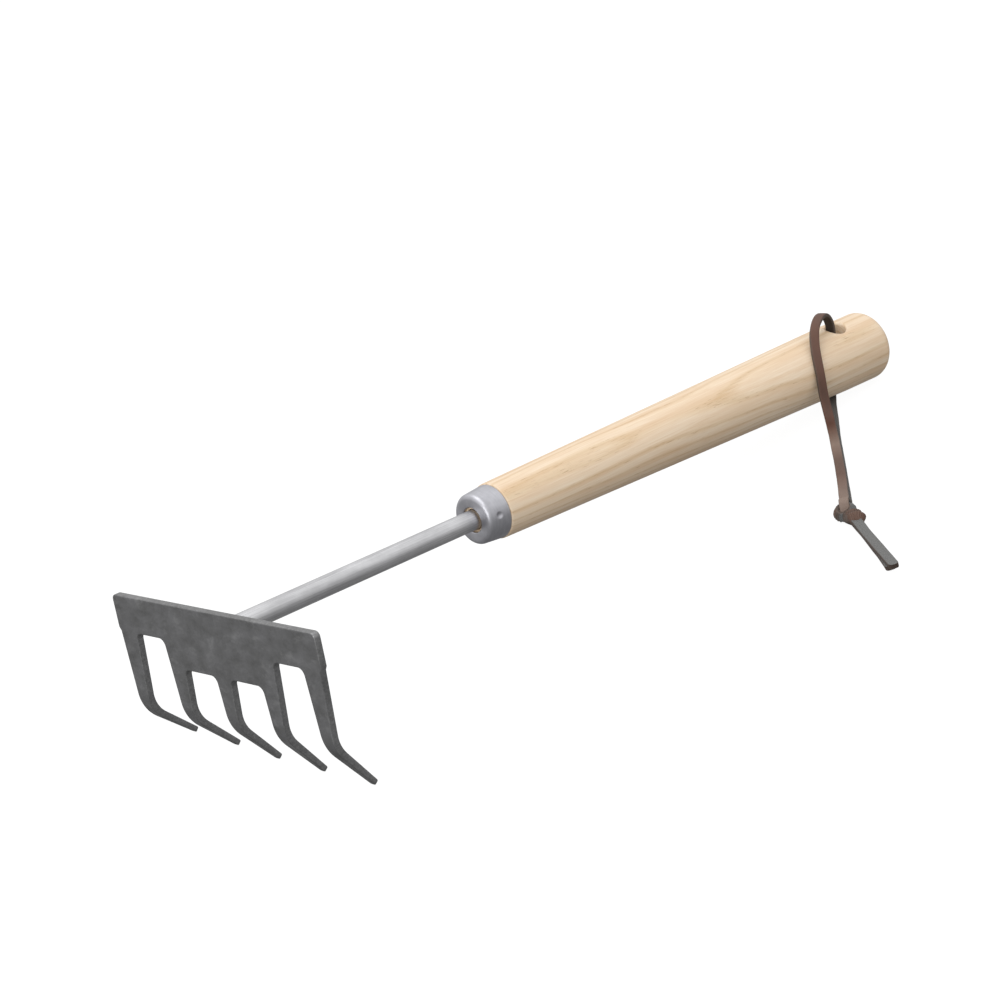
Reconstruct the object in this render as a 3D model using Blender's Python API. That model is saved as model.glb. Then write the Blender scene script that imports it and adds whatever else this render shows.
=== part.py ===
"""Hand rake: a five-tine steel head on a round shank, with a turned ash handle, a ferrule and a leather lanyard.

The tool's own frame has the shank's axis along +Y, the plate's front face at y = 0, and +Z away from the tines.
An empty turns that frame so that the tool lies on z = 0, on its tine tips and the underside of its butt.
"""

from math import asin, atan2, cos, pi, radians, sin, sqrt

import bmesh
import bpy
import numpy as np
from mathutils import Matrix, Vector

GAP = 0.0003  # clearance between two pieces that touch on the real tool

# Head: a punched plate
HEAD_WIDTH = 0.1217
PLATE_THICKNESS = 0.0030
PLATE_TOP = 0.0090  # above the shank's axis
OUTER_GAP_TOP = -0.0056  # the two outer gaps are cut higher than the two inner ones
INNER_GAP_TOP = -0.0164
PLATE_CORNER_RADIUS = 0.0022
GAP_CORNER_RADIUS = 0.0030
SIDE_STEP = 0.0009  # the outer tines stand this far inside the plate's ends

# Tines
TINE_PITCH = 0.02766
TINE_HALF_WIDTH = 0.0044  # level with the top of the inner gaps
TINE_TAPER = 0.083  # narrowing of each side per unit of length
OUTER_EDGE_TAPER = 0.054
TIP_HALF_WIDTH = 0.00125
OUTER_TIP_FLARE = 0.0013  # the outer tips stand this far outside their tines' pitch
TIP_DROP = 0.0545  # from the shank's axis to the underside of the middle tine's tip
TIP_THINNING = 0.72  # thickness before the tip's rounding, as a share of the plate's
TIP_END = 0.2  # width left at the very end of the tip's rounding, as a share
TIP_END_THICKNESS = 0.64
BEND_TOP = -0.0305  # where every bend starts
BEND_RADIUS = 0.014  # on the middle of the thickness
TINE_ANGLES = (49, 45, 40, 38, 37)  # degrees, from -X to +X: bent by hand, so no two are quite alike
BEND_STEPS = 8

# Shank and weld
SHANK_RADIUS = 0.0040
SHANK_FACETS = 32
TANG_LENGTH = 0.070  # of the shank inside the handle
TANG_CHAMFER = 0.0012
WELD_LEG = 0.0026

# Ferrule
FERRULE_FRONT = 0.1277  # from the plate's front face
FERRULE_LENGTH = 0.0107
FERRULE_FRONT_RADIUS = 0.0101
FERRULE_BACK_RADIUS = 0.0110
FERRULE_WALL = 0.0009
FERRULE_SHOULDER_RADIUS = 0.0020
FERRULE_LIP_CLEARANCE = 0.0011  # between the shank and the rolled-in lip
DIMPLE_DEPTH = 0.0005
DIMPLE_SPHERE_RADIUS = 0.0016
DIMPLE_SETBACK = 0.0055  # behind the ferrule's front
DIMPLE_AZIMUTH = 83  # degrees from +Z towards +X

# Handle
HANDLE_LENGTH = 0.2255  # from the ferrule's back edge to the butt
HANDLE_NECK_RADIUS = 0.01135
HANDLE_BUTT_RADIUS = 0.01478
HANDLE_NECK_ROUND = 0.0006
BUTT_ROUND_LENGTH = 0.0052
BUTT_ROUND_HEIGHT = 0.0064
BUTT_CROWN = 0.0004  # the end face is slightly domed
HANDLE_FACETS = 48

# Hanging hole
HOLE_RADIUS = 0.0046
HOLE_ROUND = 0.0012  # rounded mouth
HOLE_SETBACK = 0.0236  # from the butt's end to the hole's axis
HOLE_TURN = 15  # degrees, from the plate's upright towards +X

# Lanyard: a flat leather lace, doubled and knotted. It lies on the ground, so its places aren't in the tool's frame.
LACE_WIDTH = 0.0040
LACE_THICKNESS = 0.0018
LACE_STEP = 0.0040  # between the points of a lace's curve
KNOT_CENTRE = (0.0934, 0.0530, 0.0040)
KNOT_HALF_SIZE = (0.0058, 0.0058, 0.0039)

# Rows of x, y, z in millimetres, then the direction of the lace's width there.
# From the knot along the ground, up the handle's side, over into the hole, out below and back under itself.
LOOP_ROUTE = (
    (89.0, 57.5, 4.0, 0.72, 0.69, 0),
    (83.4, 62.4, 3.3, 0.72, 0.69, 0),
    (75.6, 70.6, 3.1, 0.72, 0.69, 0),
    (65.6, 81.4, 3.1, 0.72, 0.69, 0),
    (54.6, 92.9, 3.1, 0.72, 0.69, 0),
    (42.4, 105.4, 3.1, 0.72, 0.69, 0),
    (32.0, 116.0, 3.3, 0.72, 0.69, 0),
    (25.2, 122.8, 4.6, 0.70, 0.71, 0),
    (20.6, 127.4, 8.4, 0.60, 0.80, 0),
    (17.8, 130.2, 14.2, 0.40, 0.90, 0),
    (16.2, 132.6, 20.9, 0.25, 0.95, 0),
    (13.5, 135.8, 27.6, 0.30, 0.93, -0.15),
    (10.0, 140.4, 33.6, 0.45, 0.80, -0.35),
    (7.4, 146.2, 38.6, 0.75, 0.50, -0.30),
    (5.8, 152.6, 39.8, 0.92, 0.30, -0.10),
    (4.3, 157.0, 35.4, 0.95, 0.20, 0),
    (3.0, 157.8, 28.0, 0.97, 0.20, 0),
    (1.0, 157.7, 20.0, 0.95, 0.30, 0),
    (-1.8, 157.9, 12.5, 0.85, 0.50, 0),
    (-3.3, 157.5, 6.4, 0.75, 0.66, 0),
    (-2.2, 154.8, 2.1, 0.72, 0.69, 0),
    (3.4, 148.0, 1.0, 0.72, 0.69, 0),
    (13.0, 137.6, 1.0, 0.72, 0.69, 0),
    (24.0, 125.7, 1.0, 0.72, 0.69, 0),
    (35.2, 113.6, 1.0, 0.72, 0.69, 0),
    (47.1, 101.3, 1.0, 0.72, 0.69, 0),
    (59.1, 88.7, 1.0, 0.72, 0.69, 0),
    (71.1, 76.2, 1.0, 0.72, 0.69, 0),
    (81.2, 65.6, 1.1, 0.72, 0.69, 0),
    (89.3, 57.2, 1.9, 0.72, 0.69, 0),
)
UPPER_TAIL_ROUTE = (
    (98.6, 49.3, 4.3, 0.60, 0.80, 0),
    (104.5, 45.8, 3.4, 0.58, 0.81, 0),
    (112.0, 40.6, 3.2, 0.58, 0.81, 0),
    (120.0, 35.2, 3.2, 0.58, 0.81, 0),
    (129.0, 29.2, 3.2, 0.58, 0.81, 0),
    (144.5, 18.9, 3.2, 0.58, 0.81, 0),
)
LOWER_TAIL_ROUTE = (
    (98.5, 50.0, 2.0, 0.60, 0.80, 0),
    (104.9, 46.8, 1.1, 0.58, 0.81, 0),
    (112.8, 41.9, 1.0, 0.58, 0.81, 0),
    (121.0, 36.6, 1.0, 0.58, 0.81, 0),
    (129.5, 30.6, 1.0, 0.57, 0.82, 0),
    (140.6, 21.9, 1.0, 0.56, 0.83, 0),
)


def clear_scene():
    for thing in list(bpy.data.objects):
        bpy.data.objects.remove(thing, do_unlink=True)


def new_material(name, colour, metallic, roughness):
    material = bpy.data.materials.new(name)
    material.use_nodes = True
    shader = material.node_tree.nodes["Principled BSDF"]
    shader.inputs["Base Color"].default_value = (*colour, 1)
    shader.inputs["Metallic"].default_value = metallic
    shader.inputs["Roughness"].default_value = roughness
    return material


def object_from(shape, name, material, parent=None):
    """Turns a bmesh into an object, with its faces pointing out and its round parts smooth."""
    bmesh.ops.remove_doubles(shape, verts=shape.verts, dist=1e-6)
    bmesh.ops.recalc_face_normals(shape, faces=shape.faces)
    mesh = bpy.data.meshes.new(name)
    shape.to_mesh(mesh)
    shape.free()
    mesh.shade_smooth()
    mesh.set_sharp_from_angle(angle=radians(35))
    made = bpy.data.objects.new(name, mesh)
    made.data.materials.append(material)
    made.parent = parent
    bpy.context.scene.collection.objects.link(made)
    return made


def turned(profile, facets, ring=False):
    """A shape turned about the Y axis from (y, radius) points. A ring's profile closes on itself."""
    shape = bmesh.new()
    corners = [shape.verts.new((radius, y, 0)) for y, radius in profile]
    pairs = list(zip(corners, corners[1:] + ([corners[0]] if ring else [])))
    edges = [shape.edges.new(pair) for pair in pairs if pair[0] is not pair[1]]
    bmesh.ops.spin(
        shape,
        geom=corners + edges,
        cent=(0, 0, 0),
        axis=(0, 1, 0),
        angle=2 * pi,
        steps=facets,
        use_merge=True,
    )
    return shape


def arc(centre_y, centre_radius, length, height, start, end, steps):
    """Points of an elliptic arc in the (y, radius) plane, by the angle from +y towards +radius, in degrees."""
    angles = np.radians(np.linspace(start, end, steps + 1))
    return [(centre_y + length * cos(a), centre_radius + height * sin(a)) for a in angles]


def add_cut(target, cutter):
    cutter.hide_render = True
    cutter.display_type = "WIRE"
    cut = target.modifiers.new(cutter.name, "BOOLEAN")
    cut.operation = "DIFFERENCE"
    cut.object = cutter


# ---- head ----

PLATE_MIDDLE = PLATE_THICKNESS / 2
STRIP_TOP = INNER_GAP_TOP - GAP_CORNER_RADIUS - 0.001  # below this level each tine is a strip of its own


def inner_half_width(z):
    return TINE_HALF_WIDTH + TINE_TAPER * (z - INNER_GAP_TOP)


def tine_edges(index, z):
    """x of a tine's two straight edges at height z; index runs from -2 to 2."""
    centre = index * TINE_PITCH
    half = inner_half_width(z)
    low, high = centre - half, centre + half
    outer = HEAD_WIDTH / 2 - SIDE_STEP - OUTER_EDGE_TAPER * (OUTER_GAP_TOP - z)
    if index == -2:
        low = -outer
    if index == 2:
        high = outer
    return low, high


def rounded_corner(corner, before, after, radius, steps=5):
    """An arc of that radius that joins the lines from a corner towards two other points."""
    corner, before, after = (Vector(p) for p in (corner, before, after))
    one = (before - corner).normalized()
    two = (after - corner).normalized()
    half = one.angle(two) / 2
    centre = corner + (one + two).normalized() * radius / sin(half)
    first = corner + one * radius * cos(half) / sin(half)
    last = corner + two * radius * cos(half) / sin(half)
    sweep = (first - centre).angle_signed(last - centre)
    turn = [Matrix.Rotation(-sweep * i / steps, 2) for i in range(steps + 1)]
    return [centre + t @ (first - centre) for t in turn]


def plate_outline():
    """The plate's outline above the tines' strips, clockwise from its top left corner, as (x, z)."""
    half = HEAD_WIDTH / 2
    step_top = OUTER_GAP_TOP + 0.003
    left, right = (-half, PLATE_TOP), (half, PLATE_TOP)
    outline = rounded_corner(left, (-half, 0), right, PLATE_CORNER_RADIUS)
    outline += rounded_corner(right, left, (half, 0), PLATE_CORNER_RADIUS)
    outline += [Vector((half, step_top)), Vector((tine_edges(2, OUTER_GAP_TOP)[1], OUTER_GAP_TOP))]
    for index in range(2, -3, -1):
        low, high = tine_edges(index, STRIP_TOP)
        outline += [Vector((high, STRIP_TOP)), Vector((low, STRIP_TOP))]
        if index == -2:
            continue
        top = OUTER_GAP_TOP if index in (2, -1) else INNER_GAP_TOP
        near = (tine_edges(index, top)[0], top)
        far = (tine_edges(index - 1, top)[1], top)
        outline += rounded_corner(near, (low, STRIP_TOP), far, GAP_CORNER_RADIUS)
        below_far = (tine_edges(index - 1, STRIP_TOP)[1], STRIP_TOP)
        outline += rounded_corner(far, near, below_far, GAP_CORNER_RADIUS)
    outline += [Vector((tine_edges(-2, OUTER_GAP_TOP)[0], OUTER_GAP_TOP)), Vector((-half, step_top))]
    return outline


def bend_end(angle):
    """(y, z) of a tine's middle line where its bend ends."""
    return PLATE_MIDDLE + BEND_RADIUS * (1 - cos(angle)), BEND_TOP - BEND_RADIUS * sin(angle)


def tip_underside():
    """How far the end of a tip reaches below its middle line, square to the line."""
    return PLATE_MIDDLE * TIP_THINNING * TIP_END_THICKNESS


def straight_length(angle, tilt, floor):
    """Length of a tine's straight end that brings the underside of its tip to the floor of the resting tool."""
    y, z = bend_end(angle)
    height = z * cos(tilt) - y * sin(tilt) - tip_underside() * sin(angle - tilt) - floor
    return height / cos(angle - tilt)


def tine_sections(index, tilt, floor):
    """Cross-sections down one tine, each as (low x, high x, y, z, lean, thickness)."""
    angle = radians(TINE_ANGLES[index + 2])
    straight = straight_length(angle, tilt, floor)
    low_end, high_end = tine_edges(index, BEND_TOP)
    tip = index * TINE_PITCH + (OUTER_TIP_FLARE * np.sign(index) if abs(index) == 2 else 0)
    bent = BEND_RADIUS * angle + straight
    sections = [(*tine_edges(index, z), PLATE_MIDDLE, z, 0, 1) for z in np.linspace(STRIP_TOP, BEND_TOP, 4)[1:]]
    stations = list(np.linspace(0, BEND_RADIUS * angle, BEND_STEPS + 1)[1:])
    stations += list(np.linspace(stations[-1], bent - TIP_HALF_WIDTH, 4)[1:])
    stations += [bent - TIP_HALF_WIDTH * (1 - sin(radians(a))) for a in (30, 60, 90)]
    for run in stations:
        lean = min(run / BEND_RADIUS, angle)
        past = max(run - BEND_RADIUS * angle, 0)
        y = PLATE_MIDDLE + BEND_RADIUS * (1 - cos(lean)) + past * sin(lean)
        z = BEND_TOP - BEND_RADIUS * sin(lean) - past * cos(lean)
        share = run / bent
        rounding = max((run - bent) / TIP_HALF_WIDTH + 1, 0)
        round_off = max(sqrt(1 - rounding**2), TIP_END)
        low = low_end + (tip - TIP_HALF_WIDTH - low_end) * share
        high = high_end + (tip + TIP_HALF_WIDTH - high_end) * share
        middle, half = (low + high) / 2, (high - low) / 2 * round_off
        thickness = 1 - (1 - TIP_THINNING) * share
        thickness *= 1 - (1 - TIP_END_THICKNESS) * (1 - round_off) / (1 - TIP_END)
        sections.append((middle - half, middle + half, y, z, lean, thickness))
    return sections


def make_head(material, parent, tilt, floor):
    shape = bmesh.new()
    outline = plate_outline()
    front = [shape.verts.new((x, 0, z)) for x, z in outline]
    back = [shape.verts.new((x, PLATE_THICKNESS, z)) for x, z in outline]
    shape.faces.new(front)
    shape.faces.new(list(reversed(back)))
    strips = []
    for i in range(len(outline)):
        j = (i + 1) % len(outline)
        across = outline[j] - outline[i]
        if abs(outline[i].y - STRIP_TOP) < 1e-9 and abs(across.y) < 1e-9 and across.x < 0:
            strips.append([front[j], front[i], back[i], back[j]])
        else:
            shape.faces.new((front[i], front[j], back[j], back[i]))
    for index, ring in zip(range(2, -3, -1), strips):
        for low, high, y, z, lean, thickness in tine_sections(index, tilt, floor):
            out = Vector((0, cos(lean), sin(lean))) * PLATE_MIDDLE * thickness
            outer, inner = Vector((0, y, z)) - out, Vector((0, y, z)) + out
            places = [outer + Vector((low, 0, 0)), outer + Vector((high, 0, 0))]
            places += [inner + Vector((high, 0, 0)), inner + Vector((low, 0, 0))]
            fresh = [shape.verts.new(p) for p in places]
            for k in range(4):
                shape.faces.new((ring[k], ring[(k + 1) % 4], fresh[(k + 1) % 4], fresh[k]))
            ring = fresh
        shape.faces.new(ring)
    return object_from(shape, "rake_head", material, parent)


# ---- shank and weld ----

TANG_END = FERRULE_FRONT + TANG_LENGTH


def make_shank(material, parent):
    start = PLATE_THICKNESS + GAP
    profile = [(start, 0), (start, SHANK_RADIUS), (TANG_END - TANG_CHAMFER, SHANK_RADIUS)]
    profile += [(TANG_END, SHANK_RADIUS - TANG_CHAMFER), (TANG_END, 0)]
    return object_from(turned(profile, SHANK_FACETS), "shank", material, parent)


def make_weld(material, parent):
    start, inner = PLATE_THICKNESS + GAP, SHANK_RADIUS + GAP
    profile = [(start, inner), (start, inner + WELD_LEG)]
    profile += arc(start, inner, WELD_LEG, WELD_LEG, 62, 28, 3)
    profile += [(start + WELD_LEG, inner + 0.0003), (start + WELD_LEG, inner)]
    return object_from(turned(profile, SHANK_FACETS, ring=True), "weld_bead", material, parent)


# ---- ferrule ----

FERRULE_BACK = FERRULE_FRONT + FERRULE_LENGTH
LIP_RADIUS = SHANK_RADIUS + FERRULE_LIP_CLEARANCE


def ferrule_radius(y):
    share = (y - FERRULE_FRONT) / FERRULE_LENGTH
    return FERRULE_FRONT_RADIUS + (FERRULE_BACK_RADIUS - FERRULE_FRONT_RADIUS) * share


def make_ferrule(material, parent):
    shoulder_y = FERRULE_FRONT + FERRULE_SHOULDER_RADIUS
    inside_y = FERRULE_FRONT + FERRULE_WALL
    lip = FERRULE_WALL / 2
    shoulder = ferrule_radius(shoulder_y) - FERRULE_SHOULDER_RADIUS
    profile = arc(shoulder_y, shoulder, FERRULE_SHOULDER_RADIUS, FERRULE_SHOULDER_RADIUS, 180, 90, 6)
    profile += [(FERRULE_BACK, FERRULE_BACK_RADIUS), (FERRULE_BACK, FERRULE_BACK_RADIUS - FERRULE_WALL)]
    profile += [(shoulder_y, ferrule_radius(shoulder_y) - FERRULE_WALL)]
    profile += [(inside_y, ferrule_radius(inside_y) - FERRULE_SHOULDER_RADIUS)]
    profile += arc(FERRULE_FRONT + lip, LIP_RADIUS + lip, lip, lip, 0, -180, 6)
    ferrule = object_from(turned(profile, HANDLE_FACETS, ring=True), "ferrule", material, parent)

    dent = bmesh.new()
    bmesh.ops.create_uvsphere(dent, u_segments=16, v_segments=10, radius=DIMPLE_SPHERE_RADIUS)
    y = FERRULE_FRONT + DIMPLE_SETBACK
    reach = ferrule_radius(y) + DIMPLE_SPHERE_RADIUS - DIMPLE_DEPTH
    azimuth = radians(DIMPLE_AZIMUTH)
    bmesh.ops.translate(dent, verts=dent.verts, vec=(reach * sin(azimuth), y, reach * cos(azimuth)))
    add_cut(ferrule, object_from(dent, "dimple_cutter", material, parent))
    return ferrule


# ---- handle ----

HANDLE_START = FERRULE_BACK + GAP
HANDLE_END = FERRULE_BACK + HANDLE_LENGTH


def handle_radius(y):
    share = (y - HANDLE_START) / (HANDLE_LENGTH - HOLE_SETBACK)
    return HANDLE_NECK_RADIUS + (HANDLE_BUTT_RADIUS - HANDLE_NECK_RADIUS) * min(share, 1)


def handle_outside():
    """(y, radius) points from the neck to the butt's end."""
    round_start = HANDLE_END - BUTT_ROUND_LENGTH - BUTT_CROWN
    neck = handle_radius(HANDLE_START)
    edge = HANDLE_NECK_ROUND
    points = arc(HANDLE_START + edge, neck - edge, edge, edge, 180, 90, 3)
    points += [(y, handle_radius(y)) for y in np.linspace(HANDLE_START, round_start, 11)[1:-1]]
    flat = handle_radius(round_start) - BUTT_ROUND_HEIGHT
    points += arc(round_start, flat, BUTT_ROUND_LENGTH, BUTT_ROUND_HEIGHT, 90, 0, 8)
    return points + [(HANDLE_END, 0)]


def make_handle(material, parent):
    bore = SHANK_RADIUS + GAP
    tenon_start = FERRULE_FRONT + FERRULE_WALL + GAP
    tenon_front = ferrule_radius(tenon_start) - FERRULE_SHOULDER_RADIUS - 2 * GAP
    tenon_back = FERRULE_BACK_RADIUS - FERRULE_WALL - GAP
    shoulder_y = FERRULE_FRONT + FERRULE_SHOULDER_RADIUS
    profile = [(TANG_END + GAP, 0), (TANG_END + GAP, bore), (tenon_start, bore), (tenon_start, tenon_front)]
    profile += [(shoulder_y, ferrule_radius(shoulder_y) - FERRULE_WALL - GAP)]
    profile += [(HANDLE_START, tenon_back)]
    profile += handle_outside()
    handle = object_from(turned(profile, HANDLE_FACETS), "handle", material, parent)

    reach = HANDLE_BUTT_RADIUS
    mouth = reach - HOLE_ROUND
    half = [(0, HOLE_RADIUS)]
    for a in np.radians((0, 30, 60, 85)):
        half.append((mouth + HOLE_ROUND * sin(a), HOLE_RADIUS + HOLE_ROUND * (1 - cos(a))))
    half += [(reach + 0.002, HOLE_RADIUS + 2 * HOLE_ROUND)]
    run = [(-y, radius) for y, radius in reversed(half[1:])] + half
    cutter = turned([(run[0][0], 0)] + run + [(run[-1][0], 0)], 32)
    place = Matrix.Translation((0, HANDLE_END - HOLE_SETBACK, 0))
    turn = Matrix.Rotation(radians(HOLE_TURN), 4, "Y") @ Matrix.Rotation(pi / 2, 4, "X")
    bmesh.ops.transform(cutter, matrix=place @ turn, verts=cutter.verts)
    add_cut(handle, object_from(cutter, "hole_cutter", material, parent))
    return handle


# ---- lanyard ----


def spline_through(rows, spacing):
    """Evenly spaced rows on a natural cubic spline through the given ones, by their distance in x, y and z."""
    rows = np.array(rows)
    spans = np.linalg.norm(np.diff(rows[:, :3], axis=0), axis=1)
    knots = np.append(0, np.cumsum(spans))
    system, slopes = np.eye(len(rows)), np.zeros_like(rows)
    for i in range(1, len(rows) - 1):
        system[i, i - 1 : i + 2] = spans[i - 1], 2 * (spans[i - 1] + spans[i]), spans[i]
        slopes[i] = 6 * ((rows[i + 1] - rows[i]) / spans[i] - (rows[i] - rows[i - 1]) / spans[i - 1])
    bends = np.linalg.solve(system, slopes)
    places = np.linspace(0, knots[-1], round(knots[-1] / spacing) + 1)
    left = np.clip(np.searchsorted(knots, places, "right") - 1, 0, len(spans) - 1)
    span = spans[left][:, None]
    after = (places - knots[left])[:, None] / span
    before = 1 - after
    bow = (before**3 - before) * bends[left] + (after**3 - after) * bends[left + 1]
    return before * rows[left] + after * rows[left + 1] + bow * span**2 / 6


def lace_tilts(points, widths):
    """The tilts, on a minimum-twist curve, that lay its flat section's width along the given directions."""
    points = [Vector(p) for p in points]
    runs = [(b - a).normalized() for a, b in zip(points, points[1:])]
    headings = [runs[0]] + [(a + b).normalized() for a, b in zip(runs, runs[1:])] + [runs[-1]]
    turn = headings[0].to_track_quat("-Z", "Y")
    tilts = []
    for i, heading in enumerate(headings):
        if i:
            turn = headings[i - 1].rotation_difference(heading) @ turn
        side = turn @ Vector((0, 1, 0))
        wanted = Vector(widths[i]) - heading * heading.dot(Vector(widths[i]))
        tilts.append(atan2(side.cross(wanted).dot(heading), side.dot(wanted)))
    return tilts


def make_lace(name, route, material):
    rows = spline_through(route, LACE_STEP * 1000)
    curve = bpy.data.curves.new(name, "CURVE")
    curve.dimensions = "3D"
    curve.twist_mode = "MINIMUM"
    curve.bevel_depth = LACE_THICKNESS / 2
    curve.extrude = (LACE_WIDTH - LACE_THICKNESS) / 2
    curve.bevel_resolution = 2
    curve.use_fill_caps = True
    spline = curve.splines.new("POLY")
    spline.points.add(len(rows) - 1)
    for point, row, tilt in zip(spline.points, rows, lace_tilts(rows[:, :3], rows[:, 3:])):
        point.co = (*(row[:3] / 1000), 1)
        point.tilt = tilt
    lace = bpy.data.objects.new(name, curve)
    lace.data.materials.append(material)
    bpy.context.scene.collection.objects.link(lace)


def make_knot(material):
    shape = bmesh.new()
    bmesh.ops.create_uvsphere(shape, u_segments=24, v_segments=16, radius=1)
    bmesh.ops.scale(shape, vec=KNOT_HALF_SIZE, verts=shape.verts)
    bmesh.ops.translate(shape, vec=KNOT_CENTRE, verts=shape.verts)
    object_from(shape, "lanyard_knot", material)


# ---- how the tool lies ----


def resting_tilt():
    """The angle of the axis below level when the middle tine's tip and the butt both touch the ground."""
    angle = radians(TINE_ANGLES[2])
    y, z = bend_end(angle)
    under = tip_underside()
    length = (z + TIP_DROP - under * sin(angle)) / cos(angle)
    tip_y, tip_z = y + length * sin(angle) - under * cos(angle), -TIP_DROP
    tilt = min(atan2(-radius - tip_z, y - tip_y) for y, radius in handle_outside())
    return tilt, tip_z * cos(tilt) - tip_y * sin(tilt)


def lowest(pieces):
    bpy.context.view_layer.update()
    return min((piece.matrix_world @ v.co).z for piece in pieces for v in piece.data.vertices)


def span_y(pieces):
    places = [(piece.matrix_world @ v.co).y for piece in pieces for v in piece.data.vertices]
    return min(places), max(places)


def main():
    clear_scene()
    painted_steel = new_material("painted_steel", (0.12, 0.12, 0.125), 0.6, 0.5)
    bright_steel = new_material("bright_steel", (0.62, 0.62, 0.62), 1, 0.35)
    weld_steel = new_material("weld_steel", (0.25, 0.25, 0.25), 0.8, 0.5)
    ash = new_material("ash_wood", (0.80, 0.62, 0.42), 0, 0.5)
    leather = new_material("leather", (0.20, 0.09, 0.06), 0, 0.6)

    tilt, floor = resting_tilt()
    frame = bpy.data.objects.new("tool_frame", None)
    bpy.context.scene.collection.objects.link(frame)
    frame.rotation_euler = (-tilt, 0, 0)

    head = make_head(painted_steel, frame, tilt, floor)
    shank = make_shank(bright_steel, frame)
    make_weld(weld_steel, frame)
    make_ferrule(bright_steel, frame)
    handle = make_handle(ash, frame)

    bpy.context.view_layer.update()
    low, high = span_y([head, handle])
    frame.location = (0, -(low + high) / 2, -lowest([head, handle]))

    make_lace("lanyard_loop", LOOP_ROUTE, leather)
    make_lace("lanyard_tail_upper", UPPER_TAIL_ROUTE, leather)
    make_lace("lanyard_tail_lower", LOWER_TAIL_ROUTE, leather)
    make_knot(leather)


main()
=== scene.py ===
from math import pi, radians

import bmesh
import bpy
import numpy as np
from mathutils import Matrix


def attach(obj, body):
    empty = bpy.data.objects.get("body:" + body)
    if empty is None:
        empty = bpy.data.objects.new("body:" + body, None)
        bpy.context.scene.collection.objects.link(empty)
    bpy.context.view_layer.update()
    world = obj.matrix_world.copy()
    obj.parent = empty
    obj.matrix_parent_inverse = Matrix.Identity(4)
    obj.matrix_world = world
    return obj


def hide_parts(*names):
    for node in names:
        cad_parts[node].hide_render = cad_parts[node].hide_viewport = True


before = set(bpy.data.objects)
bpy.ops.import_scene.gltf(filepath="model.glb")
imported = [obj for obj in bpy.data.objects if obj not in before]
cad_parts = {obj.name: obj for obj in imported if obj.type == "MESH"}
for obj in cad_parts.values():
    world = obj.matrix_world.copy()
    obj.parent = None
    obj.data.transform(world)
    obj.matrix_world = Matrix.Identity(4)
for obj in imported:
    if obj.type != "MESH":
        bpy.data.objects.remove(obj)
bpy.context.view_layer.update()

mm = 0.001
scene = bpy.context.scene

# The rake's own axes: y along the shank from the plate's front face, z away from the tines.
rake = {"tilt": radians(6.6277531706), "y": -179.2399138, "z": 56.0356081}  # nose down, then moved, in mm


def toWorld(points):
    # the rake's axes turned nose down about x by the tilt, then moved to where it lies
    x, y, z = np.moveaxis(np.asarray(points, float), -1, 0)
    sine, cosine = np.sin(rake["tilt"]), np.cos(rake["tilt"])
    return np.stack([x, y * cosine + z * sine + rake["y"], z * cosine - y * sine + rake["z"]], -1)


camera = {  # place in metres, turn in degrees about x, y and z, lens in mm
    "place": (0.86361922, -0.70649758, 0.44763129),
    "turn": (68.86019837, 15.46635857, 46.30903366),
    "lens": 108.06183,
}
lights = {  # place and size in metres, power in watts; each points at the origin
    "overhead": {"place": (0.1, -0.1, 1.5), "size": 1.5, "power": 6.0},
    "side": {"place": (0.9, -1.3, 0.7), "size": 1.2, "power": 6.5},
}
# the sky's grey from straight down, through the horizon at a half, to straight up
skyStops = ((0.0, "#7a7a7a"), (0.36, "#9a9a9a"), (0.52, "#cccccc"), (0.76, "#f4f4f4"), (1.0, "#ffffff"))


def linear(hexColour):
    # sRGB hex to the linear red, green, blue and alpha that a socket takes
    channel = np.array([int(hexColour[i:i + 2], 16) for i in (1, 3, 5)]) / 255
    value = np.where(channel <= 0.04045, channel / 12.92, ((channel + 0.055) / 1.055) ** 2.4)
    return (*value.tolist(), 1.0)


def addNode(tree, kind, inputs=None, stops=None, **settings):
    # one node with its settings; an input is a number, a hex colour or another node's output
    made = tree.nodes.new(kind)
    for name, value in settings.items():
        setattr(made, name, value)
    for socket, value in (inputs or {}).items():
        if isinstance(value, bpy.types.NodeSocket):
            tree.links.new(value, made.inputs[socket])
        else:
            made.inputs[socket].default_value = linear(value) if isinstance(value, str) else value
    for number, (place, colour) in enumerate(stops or ()):
        ramp = made.color_ramp.elements
        stop = ramp[number] if number < 2 else ramp.new(place)
        stop.position, stop.color = place, linear(colour)
    return made


def makeCamera():
    data = bpy.data.cameras.new("viewCamera")
    data.lens = camera["lens"]
    viewer = bpy.data.objects.new("viewCamera", data)
    viewer.location = camera["place"]
    viewer.rotation_euler = [radians(a) for a in camera["turn"]]
    scene.collection.objects.link(viewer)
    scene.camera = viewer


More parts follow.
